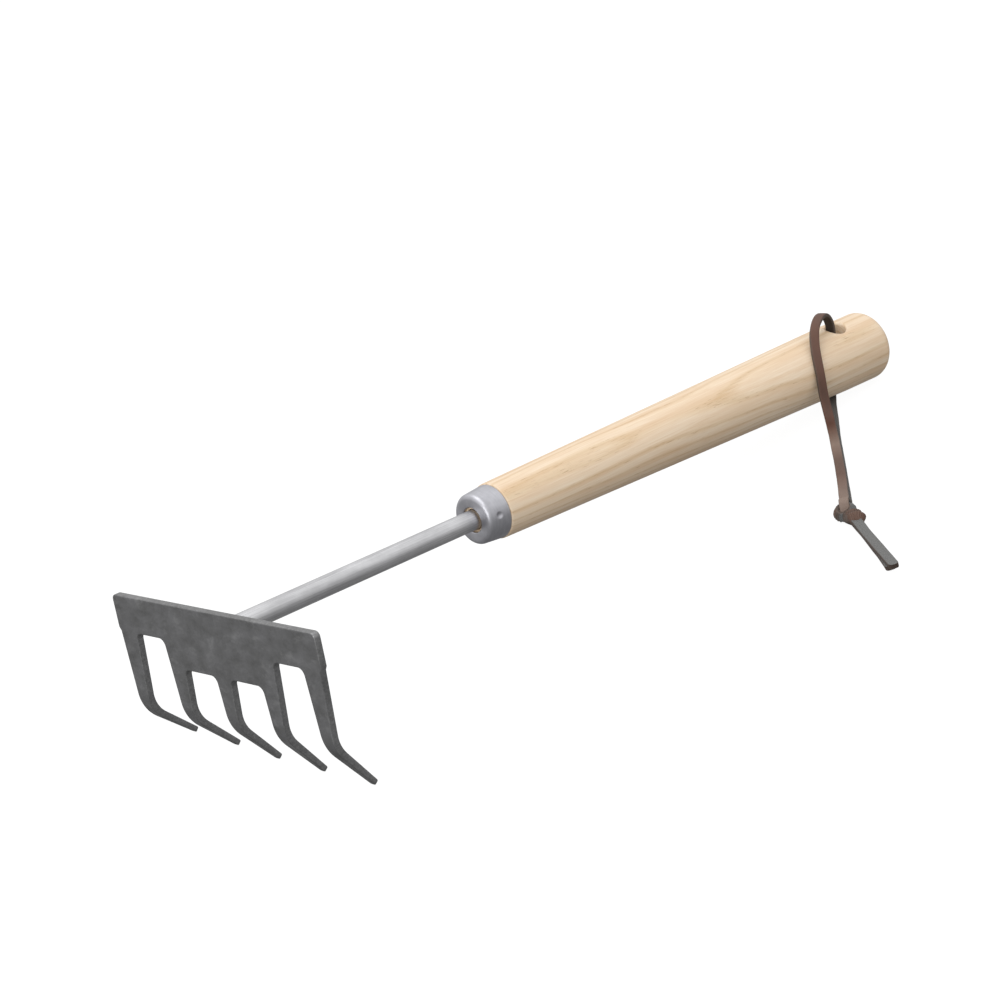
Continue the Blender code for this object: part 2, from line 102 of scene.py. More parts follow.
def makeLights():
    # a studio tent, bright overhead and grey below, with a large soft lamp above and another in front
    world = bpy.data.worlds.new("studio")
    scene.world = world
    world.use_nodes = True
    tree = world.node_tree
    tree.nodes.clear()
    place = addNode(tree, "ShaderNodeTexCoord")
    height = addNode(tree, "ShaderNodeSeparateXYZ", {0: place.outputs["Generated"]})
    share = addNode(tree, "ShaderNodeMath", {0: height.outputs["Z"], 1: 0.5, 2: 0.5},
                    operation="MULTIPLY_ADD")
    sky = addNode(tree, "ShaderNodeValToRGB", {0: share.outputs[0]}, stops=skyStops)
    glow = addNode(tree, "ShaderNodeBackground", {"Color": sky.outputs[0], "Strength": 1.0})
    addNode(tree, "ShaderNodeOutputWorld", {"Surface": glow.outputs[0]})
    for name, facts in lights.items():
        lamp = bpy.data.lights.new(name, "AREA")
        lamp.shape, lamp.size, lamp.energy = "DISK", facts["size"], facts["power"]
        held = bpy.data.objects.new(name, lamp)
        held.location = facts["place"]
        held.rotation_euler = (-held.location).to_track_quat("-Z", "Y").to_euler()
        scene.collection.objects.link(held)
    scene.view_settings.view_transform = "Standard"


def makeFloor():
    # a wide white sheet just under the rake; it lights nothing itself, so the undersides stay dark
    reach, drop = 30.0, 0.0002
    mesh = bpy.data.meshes.new("floor")
    corners = [(-reach, -reach, -drop), (reach, -reach, -drop), (reach, reach, -drop), (-reach, reach, -drop)]
    mesh.from_pydata(corners, [], [(0, 1, 2, 3)])
    floor = bpy.data.objects.new("floor", mesh)
    scene.collection.objects.link(floor)
    # White matt paper, lit so evenly that it shows no shadow
    paper = bpy.data.materials.new("whitePaper")
    paper.use_nodes = True
    shader = paper.node_tree.nodes["Principled BSDF"]
    shader.inputs["Base Color"].default_value = linear("#606060")
    shader.inputs["Roughness"].default_value = 1.0
    shader.inputs["Specular IOR Level"].default_value = 0.0
    shader.inputs["Emission Color"].default_value = linear("#ffffff")
    shader.inputs["Emission Strength"].default_value = 0.94
    mesh.materials.append(paper)
    floor.visible_glossy = False
    floor.visible_diffuse = False


makeCamera()
makeLights()
makeFloor()
print("camera, light and floor made")


def gridFaces(rows, columns):
    # quads between neighbouring points numbered row by row, where each row closes on itself
    row, column = np.meshgrid(np.arange(rows - 1), np.arange(columns), indexing="ij")
    near, far = row * columns + column, row * columns + (column + 1) % columns
    return np.stack([near, far, far + columns, near + columns], -1).reshape(-1, 4)


def closedFaces(rows, columns, start=0):
    # the last row joins the first, as round a ring; the points are numbered from start
    return (gridFaces(rows + 1, columns) % (rows * columns) + start).tolist()


def cappedFaces(rows, columns, start=0):
    # one flat face fills the first row and another the last; the points are numbered from start
    first = np.arange(columns) + start
    last = first + (rows - 1) * columns
    return [*(gridFaces(rows, columns) + start).tolist(), first.tolist(), last.tolist()]


def arc(y, radius, length, height, start, end, steps):
    # an elliptic arc of (y, radius) points by its angle in degrees from +y towards +radius
    turn = np.radians(np.linspace(start, end, steps + 1))
    return np.stack([y + length * np.cos(turn), radius + height * np.sin(turn)], -1)


def lathe(profile, turns):
    # each (y, radius) point carried round the y axis: x = radius * sin(turn), z = radius * cos(turn)
    y, radius = np.asarray(profile).T
    return np.stack(
        [radius[:, None] * np.sin(turns), y[:, None] + 0 * turns, radius[:, None] * np.cos(turns)], -1
    )


def makePiece(name, node, material, points, faces, facts=None):
    # a smooth mesh in metres from points in mm, with its faces turned outwards, standing for a CAD node;
    # facts are one value to a point, for its material
    mesh = bpy.data.meshes.new(name)
    placed = points * mm
    placed[:, 2] = np.maximum(placed[:, 2], 0)  # it lies on the ground, not in it
    mesh.from_pydata(placed.tolist(), [], faces)
    for fact, values in (facts or {}).items():
        layer = mesh.attributes.new(fact, "FLOAT", "POINT")
        layer.data.foreach_set("value", np.asarray(values, np.float32).ravel())
    shape = bmesh.new()
    shape.from_mesh(mesh)
    bmesh.ops.recalc_face_normals(shape, faces=shape.faces)
    shape.to_mesh(mesh)
    shape.free()
    mesh.shade_smooth()
    mesh.set_sharp_from_angle(angle=radians(50))
    mesh.materials.append(material)
    piece = bpy.data.objects.new(name, mesh)
    scene.collection.objects.link(piece)
    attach(piece, "root")
    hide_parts(node)
    print(name, len(mesh.polygons), "faces")
    return piece


def newMaterial(name):
    material = bpy.data.materials.new(name)
    material.use_nodes = True
    return material, material.node_tree, material.node_tree.nodes["Principled BSDF"]


def dress(tree, shader, colour, roughness, relief=None, strength=0.0, depth=0.0):
    # leads colour and roughness into the shader, and relief as a bump whose depth is in mm
    tree.links.new(colour, shader.inputs["Base Color"])
    tree.links.new(roughness, shader.inputs["Roughness"])
    if relief is not None:
        bump = addNode(tree, "ShaderNodeBump",
                       {"Height": relief, "Strength": strength, "Distance": depth * mm})
        tree.links.new(bump.outputs[0], shader.inputs["Normal"])


def rakePlace(tree):
    # Object coordinates brought back to the rake's own axes, in mm
    place = addNode(tree, "ShaderNodeTexCoord")
    return addNode(
        tree,
        "ShaderNodeMapping",
        {
            "Vector": place.outputs["Object"],
            "Location": (0, rake["y"] * mm, rake["z"] * mm),
            "Rotation": (-rake["tilt"], 0, 0),
            "Scale": (mm, mm, mm),
        },
        vector_type="TEXTURE",
    ).outputs[0]


def noise(tree, place, size, detail=2.0, rough=0.5):
    # even noise whose blotches measure size in mm along x, y and z
    scaled = addNode(tree, "ShaderNodeMapping", {"Vector": place, "Scale": tuple(1 / s for s in size)})
    made = addNode(tree, "ShaderNodeTexNoise", {"Vector": scaled.outputs[0], "Scale": 1.0, "Detail": detail,
                                               "Roughness": rough})
    return made.outputs[0]


def plateSteelMaterial():
    # Cold-rolled mild steel, punched and tumbled: dull satin grey, cloudy, with pale scuffs and worn
    # shear edges
    material, tree, shader = newMaterial("tumbledMildSteel")
    place = rakePlace(tree)
    clouds = noise(tree, place, (9, 9, 6), 4, 0.6)
    specks = noise(tree, place, (1.1, 1.1, 0.9), 3, 0.6)
    scuffs = noise(tree, place, (8, 8, 5), 4, 0.65)
    base = addNode(tree, "ShaderNodeValToRGB", {0: clouds}, stops=((0.32, "#868686"), (0.68, "#a6a6a8")))
    grit = addNode(tree, "ShaderNodeValToRGB", {0: specks}, stops=((0.35, "#9a9a9a"), (0.68, "#d0d0d0")))
    toned = addNode(tree, "ShaderNodeMix", {"Factor": 0.35, 6: base.outputs[0], 7: grit.outputs[0]},
                    data_type="RGBA", blend_type="MULTIPLY")
    scuffsAndSheen = addNode(tree, "ShaderNodeMapRange", {0: scuffs, 1: 0.56, 2: 0.70, 3: 0.0, 4: 0.3})
    scuffed = addNode(tree, "ShaderNodeMix", {"Factor": scuffsAndSheen.outputs[0], 6: toned.outputs[2], 7: "#c4c4c4"},
                      data_type="RGBA")
    edge = addNode(tree, "ShaderNodeAttribute", attribute_name="edge")
    sheared = addNode(tree, "ShaderNodeMath", {0: edge.outputs["Fac"], 1: 0.5}, operation="MULTIPLY")
    worn = addNode(tree, "ShaderNodeValToRGB", {0: specks}, stops=((0.3, "#7a7a7a"), (0.72, "#aaaaaa")))
    shades = {"Factor": sheared.outputs[0], 6: scuffed.outputs[2], 7: worn.outputs[0]}
    final = addNode(tree, "ShaderNodeMix", shades, data_type="RGBA")
    dull = addNode(tree, "ShaderNodeMapRange", {0: clouds, 1: 0.3, 2: 0.7, 3: 0.58, 4: 0.44})
    shader.inputs["Metallic"].default_value = 1.0
    dress(tree, shader, final.outputs[2], dull.outputs[0], specks, 0.25, 0.2)
    return material


def drawnSteelMaterial(name, pale, dark, lines, dullness):
    # Bright drawn mild steel: silver grey satin, with fine lines from the die and faint clouding from
    # handling
    material, tree, shader = newMaterial(name)
    place = rakePlace(tree)
    drawn = noise(tree, place, lines, 3, 0.6)
    clouds = noise(tree, place, (7, 14, 7), 3, 0.55)
    fine = addNode(tree, "ShaderNodeValToRGB", {0: drawn}, stops=((0.3, dark), (0.7, pale)))
    cloudy = addNode(tree, "ShaderNodeValToRGB", {0: clouds}, stops=((0.3, "#d6d6d6"), (0.65, "#ffffff")))
    final = addNode(tree, "ShaderNodeMix", {"Factor": 0.7, 6: fine.outputs[0], 7: cloudy.outputs[0]},
                    data_type="RGBA", blend_type="MULTIPLY")
    dull = addNode(tree, "ShaderNodeMapRange",
                   {0: clouds, 1: 0.3, 2: 0.7, 3: dullness + 0.06, 4: dullness - 0.06})
    shader.inputs["Metallic"].default_value = 1.0
    dress(tree, shader, final.outputs[2], dull.outputs[0], drawn, 0.12, 0.1)
    return material


def weldMaterial():
    # Mild steel weld metal, wire-brushed: darker grey with brown heat tint in the hollows between its
    # ripples
    material, tree, shader = newMaterial("brushedWeldMetal")
    place = rakePlace(tree)
    tint = noise(tree, place, (1.6, 1.6, 1.6), 3, 0.6)
    colour = addNode(tree, "ShaderNodeValToRGB", {0: tint}, stops=((0.32, "#55504b"), (0.66, "#8f8d8a")))
    dull = addNode(tree, "ShaderNodeMapRange", {0: tint, 1: 0.3, 2: 0.7, 3: 0.6, 4: 0.42})
    shader.inputs["Metallic"].default_value = 1.0
    dress(tree, shader, colour.outputs[0], dull.outputs[0])
    return material


def ashMaterial():
    # Ash, turned, sanded and oiled: cream with tan growth rings about 2.3 mm apart, fine fibres and short
    # open pores
    material, tree, shader = newMaterial("turnedAsh")
    place = rakePlace(tree)
    wander = addNode(tree, "ShaderNodeTexNoise", {"Scale": 1.0, "Detail": 1.5})
    slow = addNode(tree, "ShaderNodeMapping", {"Vector": place, "Scale": (1 / 22, 1 / 120, 1 / 22)})
    tree.links.new(slow.outputs[0], wander.inputs["Vector"])
    shift = addNode(tree, "ShaderNodeVectorMath", {0: wander.outputs["Color"], 1: (-0.5, -0.5, -0.5)},
                    operation="ADD")
    bent = addNode(tree, "ShaderNodeVectorMath", {0: shift.outputs[0], 1: (6, 0, 6), 2: place},
                   operation="MULTIPLY_ADD")
    # growth rings: distance from a pith that runs beside the handle and leans across it
    lean = (radians(3.2), 0, radians(-2.6))
    pith = addNode(tree, "ShaderNodeMapping",
                   {"Vector": bent.outputs[0], "Location": (34, 0, 26), "Rotation": lean, "Scale": (1, 0, 1)})
    reach = addNode(tree, "ShaderNodeVectorMath", {0: pith.outputs[0]}, operation="LENGTH")
    turns = addNode(tree, "ShaderNodeMath", {0: reach.outputs["Value"], 1: 2.3}, operation="DIVIDE")
    year = addNode(tree, "ShaderNodeMath", {0: turns.outputs[0]}, operation="FRACT")
    rings = addNode(tree, "ShaderNodeValToRGB", {0: year.outputs[0]}, stops=(
        (0.0, "#ead6bb"), (0.10, "#e3cdae"), (0.34, "#f1e1cb"), (0.86, "#eedcc5"), (1.0, "#ead6bb")))
    fibre = noise(tree, bent.outputs[0], (0.45, 26, 0.45), 3, 0.6)
    fibres = addNode(tree, "ShaderNodeValToRGB", {0: fibre}, stops=((0.3, "#ead9c2"), (0.7, "#ffffff")))
    streak = noise(tree, bent.outputs[0], (3.2, 70, 3.2), 2, 0.5)
    streaks = addNode(tree, "ShaderNodeValToRGB", {0: streak}, stops=((0.32, "#f0dfca"), (0.66, "#fffdfb")))
    pore = noise(tree, bent.outputs[0], (0.28, 5.5, 0.28), 2, 0.5)
    gaping = addNode(tree, "ShaderNodeMapRange", {0: pore, 1: 0.60, 2: 0.70, 3: 0.0, 4: 1.0})
    early = addNode(tree, "ShaderNodeMapRange", {0: year.outputs[0], 1: 0.34, 2: 0.02, 3: 0.1, 4: 1.0})
    pores = addNode(tree, "ShaderNodeMath", {0: gaping.outputs[0], 1: early.outputs[0]}, operation="MULTIPLY")
    fibred = addNode(tree, "ShaderNodeMix", {"Factor": 0.5, 6: rings.outputs[0], 7: fibres.outputs[0]},
                     data_type="RGBA", blend_type="MULTIPLY")
    streaked = addNode(tree, "ShaderNodeMix", {"Factor": 0.6, 6: fibred.outputs[2], 7: streaks.outputs[0]},
                       data_type="RGBA", blend_type="MULTIPLY")
    shown = addNode(tree, "ShaderNodeMath", {0: pores.outputs[0], 1: 0.75}, operation="MULTIPLY")
    final = addNode(tree, "ShaderNodeMix", {"Factor": shown.outputs[0], 6: streaked.outputs[2], 7: "#b08a62"},
                    data_type="RGBA")
    relief = addNode(tree, "ShaderNodeMath", {0: fibre, 1: pores.outputs[0]}, operation="SUBTRACT")
    dull = addNode(tree, "ShaderNodeMapRange", {0: fibre, 1: 0.3, 2: 0.7, 3: 0.58, 4: 0.46})
    shader.inputs["IOR"].default_value = 1.5
    dress(tree, shader, final.outputs[2], dull.outputs[0], relief.outputs[0], 0.15, 0.1)
    return material


def leatherMaterial():
    # Cowhide lace: smooth brown grain side, grey napped flesh side and dark cut edges; wrinkled across
    # where it bends
    material, tree, shader = newMaterial("cowhideLace")
    facing = addNode(tree, "ShaderNodeAttribute", attribute_name="facing").outputs["Fac"]
    along = addNode(tree, "ShaderNodeAttribute", attribute_name="along").outputs["Fac"]
    across = addNode(tree, "ShaderNodeAttribute", attribute_name="across").outputs["Fac"]
    place = addNode(tree, "ShaderNodeCombineXYZ", {0: along, 1: across, 2: facing}).outputs[0]
    wear = noise(tree, place, (26, 5, 4), 3, 0.5)
    wrinkle = noise(tree, place, (0.7, 3, 3), 3, 0.6)
    nap = noise(tree, place, (0.5, 0.4, 0.5), 3, 0.65)
    handled = addNode(tree, "ShaderNodeAttribute", attribute_name="handled").outputs["Fac"]
    grimy = addNode(tree, "ShaderNodeAttribute", attribute_name="grimy").outputs["Fac"]
    tanned = addNode(tree, "ShaderNodeValToRGB", {0: wear}, stops=((0.3, "#40261b"), (0.7, "#5a3626")))
    # the grain side's tanned brown paled towards grey-pink: a painted sheen
    grain = addNode(tree, "ShaderNodeMix", {"Factor": handled, 6: tanned.outputs[0], 7: "#8d7b70"},
                    data_type="RGBA")
    suede = addNode(tree, "ShaderNodeValToRGB", {0: nap}, stops=((0.3, "#565655"), (0.7, "#7f7f7e")))
    # the flesh side's grey nap darkened towards dark brown: painted shade
    flesh = addNode(tree, "ShaderNodeMix", {"Factor": grimy, 6: suede.outputs[0], 7: "#3a3029"},
                    data_type="RGBA")
    turned = addNode(tree, "ShaderNodeMapRange", {0: facing, 1: 0.2, 2: 0.9, 3: 0.0, 4: 1.0})
    shades = {"Factor": turned.outputs[0], 6: grain.outputs[2], 7: flesh.outputs[2]}
    sides = addNode(tree, "ShaderNodeMix", shades, data_type="RGBA")
    level = addNode(tree, "ShaderNodeMath", {0: facing}, operation="ABSOLUTE")
    cut = addNode(tree, "ShaderNodeMapRange", {0: level.outputs[0], 1: 0.95, 2: 0.6, 3: 0.0, 4: 0.8})
    final = addNode(tree, "ShaderNodeMix", {"Factor": cut.outputs[0], 6: sides.outputs[2], 7: "#544b45"},
                    data_type="RGBA")
    relief = addNode(tree, "ShaderNodeMix", {"Factor": turned.outputs[0], 2: wrinkle, 3: nap},
                     data_type="FLOAT")
    dull = addNode(tree, "ShaderNodeMapRange", {0: facing, 1: 0.0, 2: 0.9, 3: 0.5, 4: 0.9})
    shader.inputs["IOR"].default_value = 1.4
    dress(tree, shader, final.outputs[2], dull.outputs[0], relief.outputs[0], 0.35, 0.2)
    return material


leather = leatherMaterial()
print("materials ready")


lace = {
    "width": 4.0,
    "thickness": 1.8,
    "squareness": 0.34,  # power of the section's superellipse: 1 is an ellipse, 0 a rectangle
    "sectionPoints": 40,
    "spacing": 0.9,  # between rings along the lace
    "widthWaver": 0.025,  # share of the width, as a strip cut by hand
    "endRound": 2.2,  # how far a tail's corners fall back from its end
    "endRun": 5.0,  # and over what length
    "shoulder": (0.93, 0.18),  # a cut end's last ring: its share of the section, and how far it stands out
    # by the distance from the knot: how far the grain side is paled by a painted sheen, and how dark the
    # flesh side is painted as shade, darkest through the hanging hole
    "scuffsAndSheen": (
        (0, 0.75), (14, 0.6), (34, 0.2), (50, 0.25), (68, 0.75), (80, 0.35), (90, 0), (118, 0.15), (140, 0.2),
    ),
    "shadeAlong": ((110, 0.3), (128, 1), (175, 1), (190, 0.3), (320, 0.2)),
}

# Rows of x, y, z in mm, then the direction of the lace's width: from the knot along the ground, up the
# handle's side, over into the hole, out below and back under itself
loopRoute = (
    (89.0, 57.5, 4.0, 0.72, 0.69, 0),
    (83.4, 62.4, 3.3, 0.72, 0.69, 0),
    (75.6, 70.6, 3.1, 0.72, 0.69, 0),
    (65.6, 81.4, 3.1, 0.72, 0.69, 0),
    (54.6, 92.9, 3.1, 0.72, 0.69, 0),
    (42.4, 105.4, 3.1, 0.72, 0.69, 0),
    (32.0, 116.0, 3.3, 0.72, 0.69, 0),
    (25.2, 122.8, 4.6, 0.70, 0.71, 0),
    (20.6, 127.4, 8.4, 0.60, 0.80, 0),
    (17.8, 130.2, 14.2, 0.40, 0.90, 0),
    (16.2, 132.6, 20.9, 0.25, 0.95, 0),
    (13.5, 135.8, 27.6, 0.30, 0.93, -0.15),
    (10.0, 140.4, 33.6, 0.45, 0.80, -0.35),
    (7.4, 146.2, 38.6, 0.75, 0.50, -0.30),
    (5.8, 152.6, 39.8, 0.92, 0.30, -0.10),
    (4.3, 157.0, 35.4, 0.95, 0.20, 0),
    (3.0, 157.8, 28.0, 0.97, 0.20, 0),
    (1.0, 157.7, 20.0, 0.95, 0.30, 0),
    (-1.8, 157.9, 12.5, 0.85, 0.50, 0),
    (-3.3, 157.5, 6.4, 0.75, 0.66, 0),
    (-2.2, 154.8, 2.1, 0.72, 0.69, 0),
    (3.4, 148.0, 1.0, 0.72, 0.69, 0),
    (13.0, 137.6, 1.0, 0.72, 0.69, 0),
    (24.0, 125.7, 1.0, 0.72, 0.69, 0),
    (35.2, 113.6, 1.0, 0.72, 0.69, 0),
    (47.1, 101.3, 1.0, 0.72, 0.69, 0),
    (59.1, 88.7, 1.0, 0.72, 0.69, 0),
    (71.1, 76.2, 1.0, 0.72, 0.69, 0),
    (81.2, 65.6, 1.1, 0.72, 0.69, 0),
    (89.3, 57.2, 1.9, 0.72, 0.69, 0),
)
upperTailRoute = (
    (98.6, 49.3, 4.3, 0.60, 0.80, 0),
    (104.5, 45.8, 3.4, 0.58, 0.81, 0),
    (112.0, 40.6, 3.2, 0.58, 0.81, 0),
    (120.0, 35.2, 3.2, 0.58, 0.81, 0),
    (129.0, 29.2, 3.2, 0.58, 0.81, 0),
    (144.5, 18.9, 3.2, 0.58, 0.81, 0),
)
lowerTailRoute = (
    (98.5, 50.0, 2.0, 0.60, 0.80, 0),
    (104.9, 46.2, 1.1, 0.58, 0.81, 0),
    (112.8, 40.9, 1.0, 0.58, 0.81, 0),
    (121.0, 35.1, 1.0, 0.58, 0.81, 0),
    (129.5, 29.1, 1.0, 0.57, 0.82, 0),
    (140.3, 21.0, 1.0, 0.56, 0.83, 0),
)


def splineThrough(rows, spacing):
    # evenly spaced rows on the natural cubic spline through the given ones, by their distance in x, y and z
    rows = np.array(rows)
    spans = np.linalg.norm(np.diff(rows[:, :3], axis=0), axis=1)
    knots = np.append(0, np.cumsum(spans))
    inner = np.arange(1, len(rows) - 1)
    system, slopes = np.eye(len(rows)), np.zeros_like(rows)
    system[inner, inner - 1] = spans[:-1]
    system[inner, inner] = 2 * (spans[:-1] + spans[1:])
    system[inner, inner + 1] = spans[1:]
    rise = np.diff(rows, axis=0) / spans[:, None]
    slopes[1:-1] = 6 * np.diff(rise, axis=0)
    bends = np.linalg.solve(system, slopes)
    places = np.linspace(0, knots[-1], round(knots[-1] / spacing) + 1)
    left = np.clip(np.searchsorted(knots, places, "right") - 1, 0, len(spans) - 1)
    span = spans[left][:, None]
    after = (places - knots[left])[:, None] / span
    before = 1 - after
    bow = (before**3 - before) * bends[left] + (after**3 - after) * bends[left + 1]
    return before * rows[left] + after * rows[left + 1] + bow * span**2 / 6


def unit(vectors):
    return vectors / np.linalg.norm(vectors, axis=-1, keepdims=True)


def sweepLace(centres, widths, closed=False, thickness=None, endRound=0.0, seed=0.0):
    # a superellipse section carried along the centres: across = half width * |cos|^power, up = half
    # thickness * |sin|^power, with up on the flesh side, square to both the run and the width
    ahead = np.roll(centres, -1, 0) - np.roll(centres, 1, 0) if closed else np.gradient(centres, axis=0)
    run = unit(ahead)
    side = unit(widths - run * np.sum(widths * run, -1, keepdims=True))
    up = np.cross(run, side)
    along = np.append(0, np.cumsum(np.linalg.norm(np.diff(centres, axis=0), axis=1)))
    turn = 2 * pi * np.arange(lace["sectionPoints"]) / lace["sectionPoints"]
    across = np.sign(np.cos(turn)) * np.abs(np.cos(turn)) ** lace["squareness"]
    facing = np.sign(np.sin(turn)) * np.abs(np.sin(turn)) ** lace["squareness"]
    waver = 1 + lace["widthWaver"] * (np.sin(along * 0.21 + seed) + 0.6 * np.sin(along * 0.53 + 2 * seed)) / 2
    half = lace["width"] / 2 * waver[:, None]
    thick = (thickness or lace["thickness"]) / 2
    toEnd = along[-1] - along[:, None]
    fall = -endRound * np.clip(1 - toEnd / lace["endRun"], 0, 1) ** 2 * np.abs(across) ** 4
    points = (
        centres[:, None]
        + side[:, None] * (half * across)[..., None]
        + up[:, None] * (thick * facing)[None, :, None]
        + run[:, None] * fall[..., None]
    )
    shape = points.shape[:2]
    facts = {
        "along": np.broadcast_to(along[:, None] + 40 * seed, shape),
        "across": np.broadcast_to(half * across, shape),
        "facing": np.broadcast_to(facing, shape),
        # a trace of painted sheen by default
        "handled": np.broadcast_to(0.05, shape),
        # no painted shade by default
        "grimy": np.broadcast_to(0.0, shape),
    }
    return points, facts


def closeEnds(points, facts):
    # each cut end gets a small rounded shoulder: a copy of the end ring shrunk a little and moved outwards
    share, stand = lace["shoulder"]
    middle = points[[0, -1]].mean(1, keepdims=True)
    lift = unit(points[[0, -1]].mean(1) - points[[1, -2]].mean(1))[:, None] * stand
    shoulder = middle + (points[[0, -1]] - middle) * share + lift
    grown = np.concatenate([shoulder[:1], points, shoulder[1:]])
    grownFacts = {name: np.concatenate([values[:1], values, values[-1:]]) for name, values in facts.items()}
    grownFacts["facing"][[0, -1]] = 0  # cut, so neither grain nor flesh
    return grown, grownFacts


def makeLace(name, node, route, endRound=0.0, seed=0.0):
    rows = splineThrough(route, lace["spacing"])
    points, facts = sweepLace(rows[:, :3], rows[:, 3:], endRound=endRound, seed=seed)
    if not endRound:
        along = facts["along"] - facts["along"][0, 0]
        # painted sheen on the grain side, by the distance from the knot
        facts["handled"] = np.interp(along, *zip(*lace["scuffsAndSheen"]))
        # painted shade on the flesh side, darkest through the hanging hole
        facts["grimy"] = np.interp(along, *zip(*lace["shadeAlong"]))
    points, facts = closeEnds(points, facts)
    faces = cappedFaces(*points.shape[:2])
    piece = makePiece(name, node, leather, points.reshape(-1, 3), faces, facts)
    length = np.linalg.norm(np.diff(rows[:, :3], axis=0), axis=1).sum() * mm
    return piece, rows[:, :3] * mm, length


knot = {
    "centre": np.array((93.4, 53.0, 4.0)),
    "run": unit(np.array((0.762, -0.648, 0.0))),  # from the loop towards the tails
    "core": (3.0, 6.4, 2.4),  # half sizes across, along the run and up
    "coreMiddle": (0.0, 2.6, -1.2),
    # rings of lace: middle and two half axes of the ellipse, all across, along the run and up; cone is
    # how far the band leans over, and turned is where round the ring, if anywhere, it has rolled to show
    # its other side
    "rings": {
        "collar": {"middle": (-1.3, -1.7, 0.2), "first": (3.1, 0.3, 0.3), "second": (-0.2, 2.4, -1.6),
                   "cone": 0.5, "grainOut": False, "turned": pi},
        "waist": {"middle": (1.2, 4.3, -0.9), "first": (2.0, 0.3, -0.2), "second": (0.1, 1.6, 1.8),
                  "cone": -0.2, "grainOut": True, "turned": None},
        "barrel": {"middle": (1.7, 8.7, -0.6), "first": (2.15, 0.3, -0.3), "second": (0.0, 1.4, 2.05),
                   "cone": -0.5, "grainOut": True, "turned": None},
    },
    "lowest": 0.05,
    "bandThickness": 1.7,
    "fold": 0.16,  # depth of the small folds where a band is pulled tight
    # the upper strap rides over the collar's back and dives into the middle: across, along the run, up
    "entry": ((0.6, -7.2, -0.3), (0.45, -6.3, 0.7), (0.2, -5.3, 2.2), (-0.2, -4.3, 3.4), (-0.5, -3.1, 3.7),
              (-0.8, -2.0, 3.0), (-1.0, -1.2, 1.6), (-1.15, -0.7, 0.1), (-1.2, -0.4, -1.3)),
}


def knotPlace(local):
    # across, run and up in the knot's own axes to x, y and z
    across = np.cross((0, 0, 1), knot["run"])
    return np.asarray(local, float) @ np.stack([across, knot["run"], (0, 0, 1)])


def knotRing(band, seed):
    # lace along middle + first * cos(turn) + second * sin(turn), its width square to the ring and leant
    # inwards
    turn = np.linspace(0, 2 * pi, 121)[:-1]
    middle, first, second = (knotPlace(band[part]) for part in ("middle", "first", "second"))
    swell = 1 + 0.035 * np.sin(2 * turn + seed) + 0.02 * np.sin(5 * turn + 2 * seed)
    ring = (first * np.cos(turn)[:, None] + second * np.sin(turn)[:, None]) * swell[:, None]
    axis = unit(np.cross(first, second))
    widths = axis - unit(ring) * band["cone"] * np.sign(axis[2])
    points, facts = sweepLace(knot["centre"] + middle + ring, widths * (-1 if band["grainOut"] else 1),
                              closed=True, thickness=knot["bandThickness"], seed=seed)
    # a little painted sheen all round the knot's bands
    facts["handled"] = np.broadcast_to(0.3, points.shape[:2])
    creases = knot["fold"] * np.sin(23 * turn + seed) * np.abs(np.sin(turn))
    points += unit(ring)[:, None] * creases[:, None, None]
    if band["turned"] is not None:
        rolled = np.exp(-((turn - band["turned"]) / 0.55) ** 2)
        facts["facing"] = facts["facing"] * (1 - 2 * rolled[:, None])
    return points, facts


def makeKnot():
    bands = enumerate(knot["rings"].values())
    shells = [(*knotRing(band, number + 1.7), closedFaces) for number, band in bands]
    entry = splineThrough(knotPlace(knot["entry"]) + knot["centre"], 0.35)
    across = np.broadcast_to(-knotPlace((1, 0, 0)), entry.shape)
    strap, strapFacts = sweepLace(entry, across, seed=0.3)
    # a strong painted sheen on the strap's end within the knot
    strapFacts["handled"] = np.broadcast_to(0.8, strap.shape[:2])
    shells.append((*closeEnds(strap, strapFacts), cappedFaces))
    # the core is an ellipsoid with soft lumps, given the cut edges' dark colour as painted shade between the
    # bands
    rise = np.linspace(-pi / 2, pi / 2, 26)[1:-1, None]
    spin = np.linspace(0, 2 * pi, 49)[:-1]
    lump = 1 + 0.05 * np.sin(3 * spin + 4 * rise) * np.cos(rise)
    ball = np.stack([np.cos(rise) * np.cos(spin), np.cos(rise) * np.sin(spin), np.sin(rise) + 0 * spin], -1)
    core = knotPlace(ball * np.array(knot["core"]) * lump[..., None] + np.array(knot["coreMiddle"]))
    plain = {fact: np.zeros(core.shape[:2]) for fact in strapFacts}
    shells.append((core + knot["centre"], plain, cappedFaces))
    faces, count = [], 0
    for points, _, facesOf in shells:
        faces += facesOf(*points.shape[:2], count)
        count += points[..., 0].size
    points = np.concatenate([shell[0].reshape(-1, 3) for shell in shells])
    points[:, 2] = np.maximum(points[:, 2], knot["lowest"])  # pressed flat where it lies
    facts = {fact: np.concatenate([shell[1][fact].ravel() for shell in shells]) for fact in plain}
    return makePiece("lace_knot", "lanyard_knot", leather, points, faces, facts)


laceKnot = makeKnot()
laceLoop, loopPath, loopLength = makeLace("lace_loop", "lanyard_loop", loopRoute, seed=0.3)
upperTail, upperPath, upperLength = makeLace(
    "lace_tail_upper", "lanyard_tail_upper", upperTailRoute, lace["endRound"], 1.1
)
lowerTail, lowerPath, lowerLength = makeLace(
    "lace_tail_lower", "lanyard_tail_lower", lowerTailRoute, lace["endRound"] / 2, 2.3
)
for piece, path, length, end, others in (
    (laceLoop, loopPath, loopLength, "knot", [laceKnot]),
    (upperTail, upperPath, upperLength, "bare", []),
    (lowerTail, lowerPath, lowerLength, "bare", []),
):
    print(piece.name, "is", round(length * 1000, 1), "mm long")


